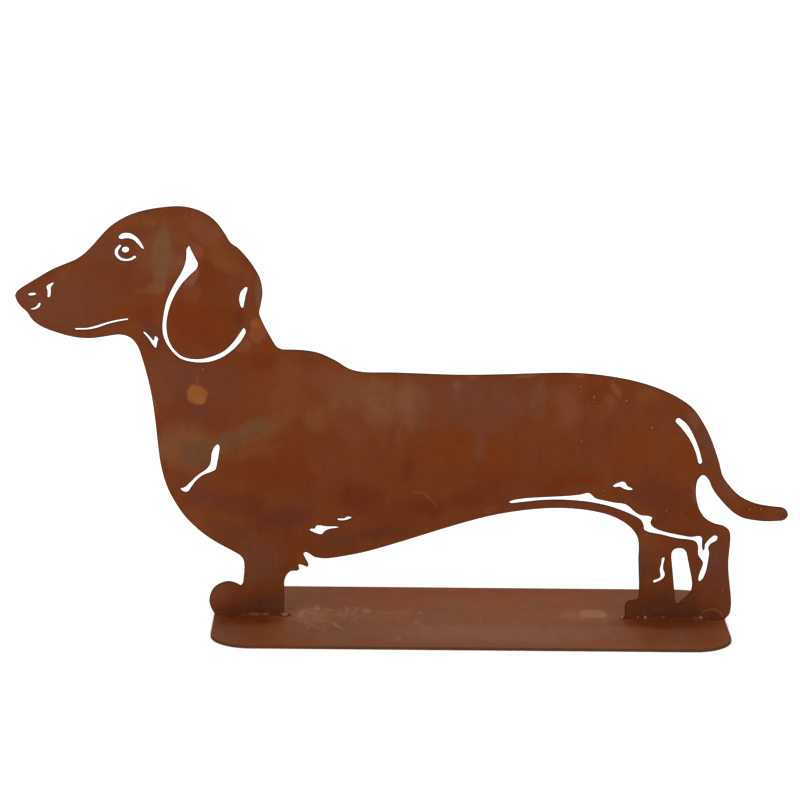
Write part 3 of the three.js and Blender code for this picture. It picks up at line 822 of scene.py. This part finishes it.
def painted(points, tints, patches, seed, stains=(), specks=(), scratches=(), scratch_width=0.9):
    """Display colours over a face: a base of three tints, the marks laid over it, and a mottle.

    The points are in metres, and the marks and scratch_width in millimetres.
    """
    fray_u = clouds(points, FRAY_SIZE, seed + 2, 2) * FRAY
    fray_v = clouds(points, FRAY_SIZE, seed + 4, 2) * FRAY
    drift_u = clouds(points, DRIFT_SIZE, seed + 1) * DRIFT + fray_u
    drift_v = clouds(points, DRIFT_SIZE, seed + 3) * DRIFT + fray_v
    u = points[:, 0] / MM
    v = points[:, 1] / MM
    base, second, third = tints
    broad = smooth_step(clouds(points, BROAD_SIZE, seed + 5), -0.35, 0.35)
    middle = smooth_step(clouds(points, MIDDLE_SIZE, seed + 6), 0.0, 0.6) * MIDDLE_SHARE
    colour = laid_over(np.tile(base, (len(points), 1)), second, broad)
    colour = laid_over(colour, third, middle)

    for _, at_u, at_v, half_u, half_v, tilt, soft, tint, strength in patches:
        # A soft border is shifted more than a crisp one, and a small area's less.
        give = min(1.0, soft * 0.9 + 0.06) * min(1.0, min(half_u, half_v) / FULL_GIVE)
        across = u + drift_u * give - at_u
        up = v + drift_v * give - at_v
        radius = np.hypot(*in_axes(across, up, tilt, half_u, half_v))
        share = smooth_step(radius, 1 + FADE_OUT * soft, 0.95 - FADE_IN * soft) * strength
        colour = laid_over(colour, tint, share)

    for _, at_u, at_v, half_u, half_v, tilt, sides, tint, strength in stains:
        across = u + drift_u * STAIN_DRIFT + fray_u * STAIN_FRAY - at_u
        up = v + drift_v * STAIN_DRIFT + fray_v * STAIN_FRAY - at_v
        radius = polygon_radius(*in_axes(across, up, tilt, half_u, half_v), sides)
        fade = STAIN_FADE / min(half_u, half_v)
        colour = laid_over(colour, tint, smooth_step(radius, 1 + fade, 1 - fade) * strength)

    for line, strength in scratches:
        reach = line_distance(u + drift_u * SCRATCH_DRIFT, v + drift_v * SCRATCH_DRIFT, line)
        share = smooth_step(reach, scratch_width, SCRATCH_CORE) * strength
        colour = laid_over(colour, PALE, share)

    # Round each speck a darker ring of rust, and on its top a painted highlight that grows with
    # its rise.
    for at_u, at_v, radius, rise in specks:
        reach = np.hypot(u - at_u, v - at_v) / radius
        ring = smooth_step(reach, HALO, 1.0) * min(rise * HALO_GAIN, 1)
        colour = laid_over(colour, BARK, ring)
        colour = laid_over(colour, PALE, smooth_step(reach, 1.1, 0.4) * rise / GLINT_FULL_RISE)

    mottle = np.zeros(len(points))
    for i, (size, strength, octaves) in enumerate(GRAINS):
        mottle += strength * clouds(points, size, seed + 7 + i, octaves)
    mottle += RUN_STRENGTH * clouds(points * RUN_SQUEEZE, RUN_SIZE, seed + 9, 2)
    return colour * (1 + mottle[:, None] * MOTTLE_TINT)


def albedo(colour):
    """The albedo that shows as these 8-bit display colours, by the sRGB curve."""
    share = np.asarray(colour, dtype=float) / 255
    shown = np.where(share <= 0.04045, share / 12.92, ((share + 0.055) / 1.055) ** 2.4)
    return np.clip((shown - SHEEN) / LIGHT, DARKEST, 1)


# ---- Material ----

SCORCH = (64, 38, 26)    # display colour of the cut edges
SCORCH_REACH = 0.9 * MM  # how far on to the face the cut's colour fades
PEPPER = (78, 38, 22)    # display colour of the finest dark specks


def patina(name, gloss, specular, scorched=0.75):
    """Rusted, sealed steel: painted colour, dark cut edges and a satin, grainy skin.

    gloss is the middle of its roughness, specular its specular level, and scorched how far
    the cut edges are darkened.
    """
    material = bpy.data.materials.new(name)
    material.use_nodes = True
    nodes = Tree(material.node_tree)
    shader = material.node_tree.nodes["Principled BSDF"]
    position = nodes.add("ShaderNodeTexCoord").outputs["Object"]
    # The points' colour: rust, with painted sheen, shade and highlights in it.
    colour = nodes.add("ShaderNodeAttribute", attribute_name="patina").outputs["Color"]

    fine = nodes.noise(position, size=2.6 * MM, detail=4, roughness=0.65)
    shade = nodes.ramp(fine, low=0.3, high=0.7, to_low=0.95, to_high=1.05, smooth=False)
    colour = nodes.scaled(colour, shade)
    finest = nodes.noise(position, size=1.6 * MM, detail=2, roughness=0.5)
    pepper = nodes.ramp(finest, low=0.7, high=0.78, to_low=0.0, to_high=0.3)
    colour = nodes.blend(pepper, colour, (*albedo(PEPPER), 1))

    distance = nodes.add("ShaderNodeAttribute", attribute_name="cut_distance").outputs["Fac"]
    scorch = nodes.ramp(distance, low=0.0, high=SCORCH_REACH, to_low=scorched, to_high=0.0)
    colour = nodes.blend(scorch, colour, (*albedo(SCORCH), 1))
    nodes.link(colour, shader.inputs["Base Color"])

    worn = nodes.noise(position, size=14 * MM, detail=4, roughness=0.6)
    rough = nodes.ramp(worn, low=0.3, high=0.7, to_low=gloss - 0.07, to_high=gloss + 0.09)
    nodes.link(rough, shader.inputs["Roughness"])
    shader.inputs["Specular IOR Level"].default_value = specular
    shader.inputs["Metallic"].default_value = 0.0

    grain = nodes.noise(position, size=0.9 * MM, detail=4, roughness=0.6)
    bump = nodes.add("ShaderNodeBump")
    bump.inputs["Strength"].default_value = 0.25
    bump.inputs["Distance"].default_value = 0.05 * MM
    nodes.link(grain, bump.inputs["Height"])
    nodes.link(bump.outputs["Normal"], shader.inputs["Normal"])
    return material


# ---- The dog ----

DOG_TINTS = ((111, 55, 25), (108, 54, 28), (108, 50, 21))
DOG_PITCHES = (1.12 * MM, 2.2 * MM)  # of the inner grid, near face and far face
BEND = 0.22 * MM
BEND_LENGTH = 150 * MM
STIFF_HEIGHT = 60 * MM  # the bend grows from nothing at the feet up to this height
SOLE_REACH = 3 * MM     # height over which a foot is drawn down on to the plate
SOLE_DROP = 0.4 * MM


def dog_warp(points):
    """A slight bend of the standing sheet, none of it at the feet."""
    height = np.clip((points[:, 1] - PLATE_TOP) / STIFF_HEIGHT, 0, 1)
    return height * BEND * waves(points, BEND_LENGTH, SEED)


def dog_grain(points, side):
    """The unevenness of rolled steel."""
    return (0.018 * MM * waves(points, 9 * MM, SEED + side)
            + 0.03 * MM * waves(points, 30 * MM, SEED + 10 + side))


def dog_paint(points, side):
    above = points - np.array([0, PLATE_TOP])
    if side == 0:
        return albedo(painted(above, DOG_TINTS, NEAR_PATCHES, SEED, STAINS, DOG_SPECKS,
                              SCRATCHES))
    return albedo(painted(above, DOG_TINTS, FAR_PATCHES, SEED + 40, specks=FAR_SPECKS))


def drawn_down(verts):
    """Closes the gap of the CAD solids between the soles and the plate."""
    height = np.clip((verts[:, 2] - dog_low.z) / SOLE_REACH, 0, 1)
    verts = verts.copy()
    verts[:, 2] -= SOLE_DROP * (1 - height)
    return verts


dog_bumps = [(x * MM, z * MM + PLATE_TOP, radius * MM, rise * MM)
             for x, z, radius, rise in DOG_SPECKS]
dog_material = patina("rust patina sheet", 0.48, 0.1)
dog = sheet_piece("dog_patina_sheet", "dog_sheet", Upright, DOG_PITCHES, dog_warp, dog_grain,
                  dog_paint, dog_bumps, drawn_down)
dog.data.materials.append(dog_material)

# ---- The plate ----

PLATE_TINTS = ((125, 70, 37), (122, 68, 35), (127, 70, 33))
PLATE_PITCHES = (1.3 * MM, 4 * MM)  # of the inner grid, top and underside
PLATE_SCRATCH_WIDTH = 1.4  # mm
PLATE_UNEVENNESS = 0.03 * MM


def plate_warp(points):
    """The plate lies flat."""
    return np.zeros(len(points))


def plate_grain(points, side):
    """The unevenness of rolled steel on the plate's top."""
    amount = PLATE_UNEVENNESS if side == 0 else 0.0
    return amount * (0.5 * waves(points, 8 * MM, SEED + 20) + waves(points, 40 * MM, SEED + 21))


def plate_paint(points, side):
    if side == 0:
        return albedo(painted(points, PLATE_TINTS, PLATE_PATCHES, SEED + 80, PLATE_STAINS,
                              PLATE_TOP_SPECKS, PLATE_TOP_SCRATCHES, PLATE_SCRATCH_WIDTH))
    return albedo(painted(points, (BRICK, BRICK, OCHRE), [], SEED + 81))


plate_bumps = [(x * MM, y * MM, radius * MM, rise * MM)
               for x, y, radius, rise in PLATE_TOP_SPECKS]
plate_material = patina("rust patina plate", 0.42, 0.22, scorched=0.55)
plate = sheet_piece("plate_patina_sheet", "base_plate", Flat, PLATE_PITCHES, plate_warp,
                    plate_grain, plate_paint, plate_bumps)
plate.data.materials.append(plate_material)

# ---- The weld beads ----

# Profiles of the weld beads: place along x, height up the sheet, reach over the plate, in mm.
FRONT_BEAD = [
    (-151, 0.5, 0.6), (-148, 1.7, 1.8), (-144, 2.4, 2.1), (-139, 2.2, 2.3), (-136, 1.3, 1.5),
    (-133, 2.3, 2.2), (-130, 1.1, 1.3), (-126.5, 0.8, 0.9), (-124, 1.7, 1.8), (-121.2, 2.7, 3.6),
    (-118.4, 1.6, 1.8), (-117, 0.3, 0.4),
]
HIND_BEAD = [
    (98.4, 0.5, 0.9), (100, 1.9, 2.8), (102.5, 1.0, 1.4), (106, 1.2, 1.4), (110.5, 2.1, 1.9),
    (112.5, 1.2, 1.3), (115.2, 2.3, 2.1), (118, 1.3, 1.4), (127, 2.0, 1.8), (131, 1.3, 1.3),
    (140, 1.5, 1.6), (148, 1.6, 1.6), (151.5, 2.4, 2.2), (155, 4.4, 2.8), (158.5, 5.4, 3.0),
    (162, 4.4, 2.8), (165, 1.6, 1.5), (165.9, 0.3, 0.4),
]
# Painted highlights along the top of the weld beads: place along x, half length, strength.
FRONT_GLINTS = [(-141, 5.0, 0.25), (-134, 3.6, 0.32), (-121.2, 3.4, 0.62)]
HIND_GLINTS = [(99.6, 2.2, 0.7), (110.5, 0.9, 0.4), (115.2, 1.1, 0.9), (127, 1.3, 0.3),
             (148, 2.0, 0.25), (151.6, 1.8, 0.6)]

WELD_TINT = (88, 40, 20)
WELD_MOTTLE = 0.10
# The painted highlights sit at this height above the plate, with this half height.
GLINT_HEIGHT = 1.4       # mm above the plate
GLINT_HALF_HEIGHT = 1.3  # mm
NO_CUT = 5 * MM        # distance to a cut edge that a bead's points are given
BEAD_STEP = 0.35 * MM
BEAD_ROOT = 0.35 * MM  # how far the bead's root lies inside both sheets
BEAD_SIDES = 14
SOFTENING = 9          # steps over which the profile is rounded
RIPPLE_PITCH = 3.4 * MM
RIPPLE_DEPTH = 0.05    # as a share of the bead's size
RIPPLE_MIDDLE = 0.6
RIPPLE_LAG = 1.2 * MM  # how far a ripple's middle trails its ends
WANDER = 0.6           # how unevenly the ripples are spaced
WANDER_LENGTH = 7 * MM
LUMP_DEPTH = 0.05
LUMP_SIZE = 1.8 * MM


def weld_paint(points, glints):
    """Dark rusted weld with painted highlights (glints), given as place along x, half length,
    strength.
    """
    x = points[:, 0] / MM
    height = (points[:, 2] - PLATE_TOP) / MM
    colour = np.tile(WELD_TINT, (len(points), 1)).astype(float)
    for place, half_length, strength in glints:
        reach = np.hypot((x - place) / half_length, (height - GLINT_HEIGHT) / GLINT_HALF_HEIGHT)
        colour = laid_over(colour, PALE, smooth_step(reach, 1.1, 0.2) * strength)
    aslant = points[:, [0, 2]] + points[:, [1, 1]]
    mottle = 1 + WELD_MOTTLE * clouds(aslant, 3 * MM, SEED + 5, 3)
    return albedo(colour * mottle[:, None])


def softened(values):
    weights = np.hanning(SOFTENING) / np.hanning(SOFTENING).sum()
    return np.convolve(np.pad(values, SOFTENING // 2, mode="edge"), weights, mode="valid")


def bead_size(x, angle):
    """How large the bead is here, against its profile: its ripples and lumps."""
    lag = RIPPLE_LAG * math.sin(2 * angle)
    wander = WANDER * noise.noise(Vector((x / WANDER_LENGTH, 3.1, 0)))
    wave = abs(math.sin(math.pi * ((x + lag) / RIPPLE_PITCH + wander)))
    lump = noise.fractal(Vector((x, angle * 1.5 * MM, 0)) / LUMP_SIZE, 0.9, 2, 3)
    return 1 + RIPPLE_DEPTH * (wave - RIPPLE_MIDDLE) + LUMP_DEPTH * lump


def bead_piece(name, profile, glints):
    """A lumpy fillet of weld between the near face of the dog and the plate's top."""
    stations = np.array(profile) * MM
    count = int((stations[-1, 0] - stations[0, 0]) / BEAD_STEP)
    places = np.linspace(stations[0, 0], stations[-1, 0], count)
    heights = softened(np.interp(places, stations[:, 0], stations[:, 1]))
    reaches = softened(np.interp(places, stations[:, 0], stations[:, 2]))
    verts = []
    for x, height, reach in zip(places, heights, reaches):
        verts.append((x, NEAR_FACE + BEAD_ROOT, PLATE_TOP - BEAD_ROOT))
        for step in range(BEAD_SIDES + 1):
            angle = math.pi / 2 * step / BEAD_SIDES
            size = bead_size(x, angle)
            out = reach * size * math.cos(angle) - BEAD_ROOT * math.sin(angle)
            up = height * size * math.sin(angle) - BEAD_ROOT * math.cos(angle)
            verts.append((x, NEAR_FACE - out, PLATE_TOP + up))

    around = BEAD_SIDES + 2
    faces = []
    for i in range(count - 1):
        for step in range(around):
            here = i * around + step
            there = i * around + (step + 1) % around
            faces.append((here, there, there + around, here + around))
    faces.append(tuple(reversed(range(around))))
    faces.append(tuple(range((count - 1) * around, count * around)))
    verts = np.array(verts)
    return rust_piece(name, verts, faces, weld_paint(verts, glints), np.full(len(verts), NO_CUT))


front_bead = bead_piece("front_foot_bead", FRONT_BEAD, FRONT_GLINTS)
hind_bead = bead_piece("hind_foot_bead", HIND_BEAD, HIND_GLINTS)
weld_material = patina("rusted weld", 0.5, 0.12)
for bead in (front_bead, hind_bead):
    bead.data.materials.append(weld_material)

# ---- Each piece hangs from the root body, its CAD part hidden ----

for piece, slot, node in ((dog, "dog_sheet", "dog_sheet"), (plate, "base_plate", "base_plate"),
                          (front_bead, "weld", "front_foot_weld"),
                          (hind_bead, "weld", "hind_foot_weld")):
    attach(piece, "root")
    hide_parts(node)

# ---- Studio ----

FLOOR_SIZE = 12.0
FLOOR_ALBEDO = 0.98

half = FLOOR_SIZE / 2
floor_mesh = bpy.data.meshes.new("studio_floor")
floor_mesh.from_pydata([(-half, -half, 0), (half, -half, 0), (half, half, 0), (-half, half, 0)],
                       [], [(0, 1, 2, 3)])
floor = bpy.data.objects.new("studio_floor", floor_mesh)
bpy.context.scene.collection.objects.link(floor)
floor_material = bpy.data.materials.new("studio floor")
floor_material.use_nodes = True
floor_shader = floor_material.node_tree.nodes["Principled BSDF"]
floor_shader.inputs["Base Color"].default_value = (FLOOR_ALBEDO, FLOOR_ALBEDO, FLOOR_ALBEDO, 1)
floor_shader.inputs["Roughness"].default_value = 1.0
floor_shader.inputs["Specular IOR Level"].default_value = 0.0
floor_mesh.materials.append(floor_material)
floor.visible_glossy = False

SKY_LIGHT = 1.3          # even light from all round
BACKDROP = (1, 1, 1, 1)  # what the camera sees instead
GLOSS_BELOW = 0.02       # what reflections see instead: low down,
GLOSS_ZENITH = 0.6       # and overhead,
GLOSS_RISE = 0.9         # which starts at directions that point this much upwards

world = bpy.data.worlds.new("studio")
bpy.context.scene.world = world
world.use_nodes = True
sky = Tree(world.node_tree)
direction = sky.add("ShaderNodeTexCoord").outputs["Generated"]
upward = sky.add("ShaderNodeSeparateXYZ")
sky.link(direction, upward.inputs[0])
path = sky.add("ShaderNodeLightPath")
gloss = sky.ramp(upward.outputs["Z"], 0.0, GLOSS_RISE, GLOSS_BELOW, GLOSS_ZENITH)
light = sky.blend(path.outputs["Is Glossy Ray"], (SKY_LIGHT, SKY_LIGHT, SKY_LIGHT, 1), gloss)
light = sky.blend(path.outputs["Is Camera Ray"], light, BACKDROP)
sky.link(light, world.node_tree.nodes["Background"].inputs["Color"])

KEY_PLACE = Vector((-1.3, -2.0, 1.9))
KEY_SIZE = 1.6
KEY_POWER = 14

key_data = bpy.data.lights.new("key softbox", "AREA")
key_data.shape = "DISK"
key_data.size = KEY_SIZE
key_data.energy = KEY_POWER
key = bpy.data.objects.new("key_softbox", key_data)
key.location = KEY_PLACE
key.rotation_euler = (-KEY_PLACE).to_track_quat("-Z", "Y").to_euler()
key.visible_glossy = False
bpy.context.scene.collection.objects.link(key)

# ---- Camera ----

LENS = 134.73
SENSOR = 36.0
DISTANCE = 1.931
ELEVATION = math.radians(13.393)
TURN = math.radians(0.2428)  # the object is turned this much to the camera
ROLL = math.radians(0.580)
AIM = Vector((-0.04704, 0, 0.14563 + PLATE_TOP))

camera_data = bpy.data.cameras.new("camera")
camera_data.lens = LENS
camera_data.sensor_width = SENSOR
camera = bpy.data.objects.new("camera", camera_data)
bpy.context.scene.collection.objects.link(camera)
turn = Euler((0, 0, -TURN)).to_matrix()
back_off = Vector((0, -DISTANCE * math.cos(ELEVATION), DISTANCE * math.sin(ELEVATION)))
camera.location = turn @ (AIM + back_off)
tilt = Euler((math.pi / 2 - ELEVATION, 0, 0)).to_matrix()
roll = Euler((0, 0, ROLL)).to_matrix()
camera.rotation_euler = (turn @ tilt @ roll).to_euler()
bpy.context.scene.camera = camera

bpy.context.scene.view_settings.view_transform = "Standard"
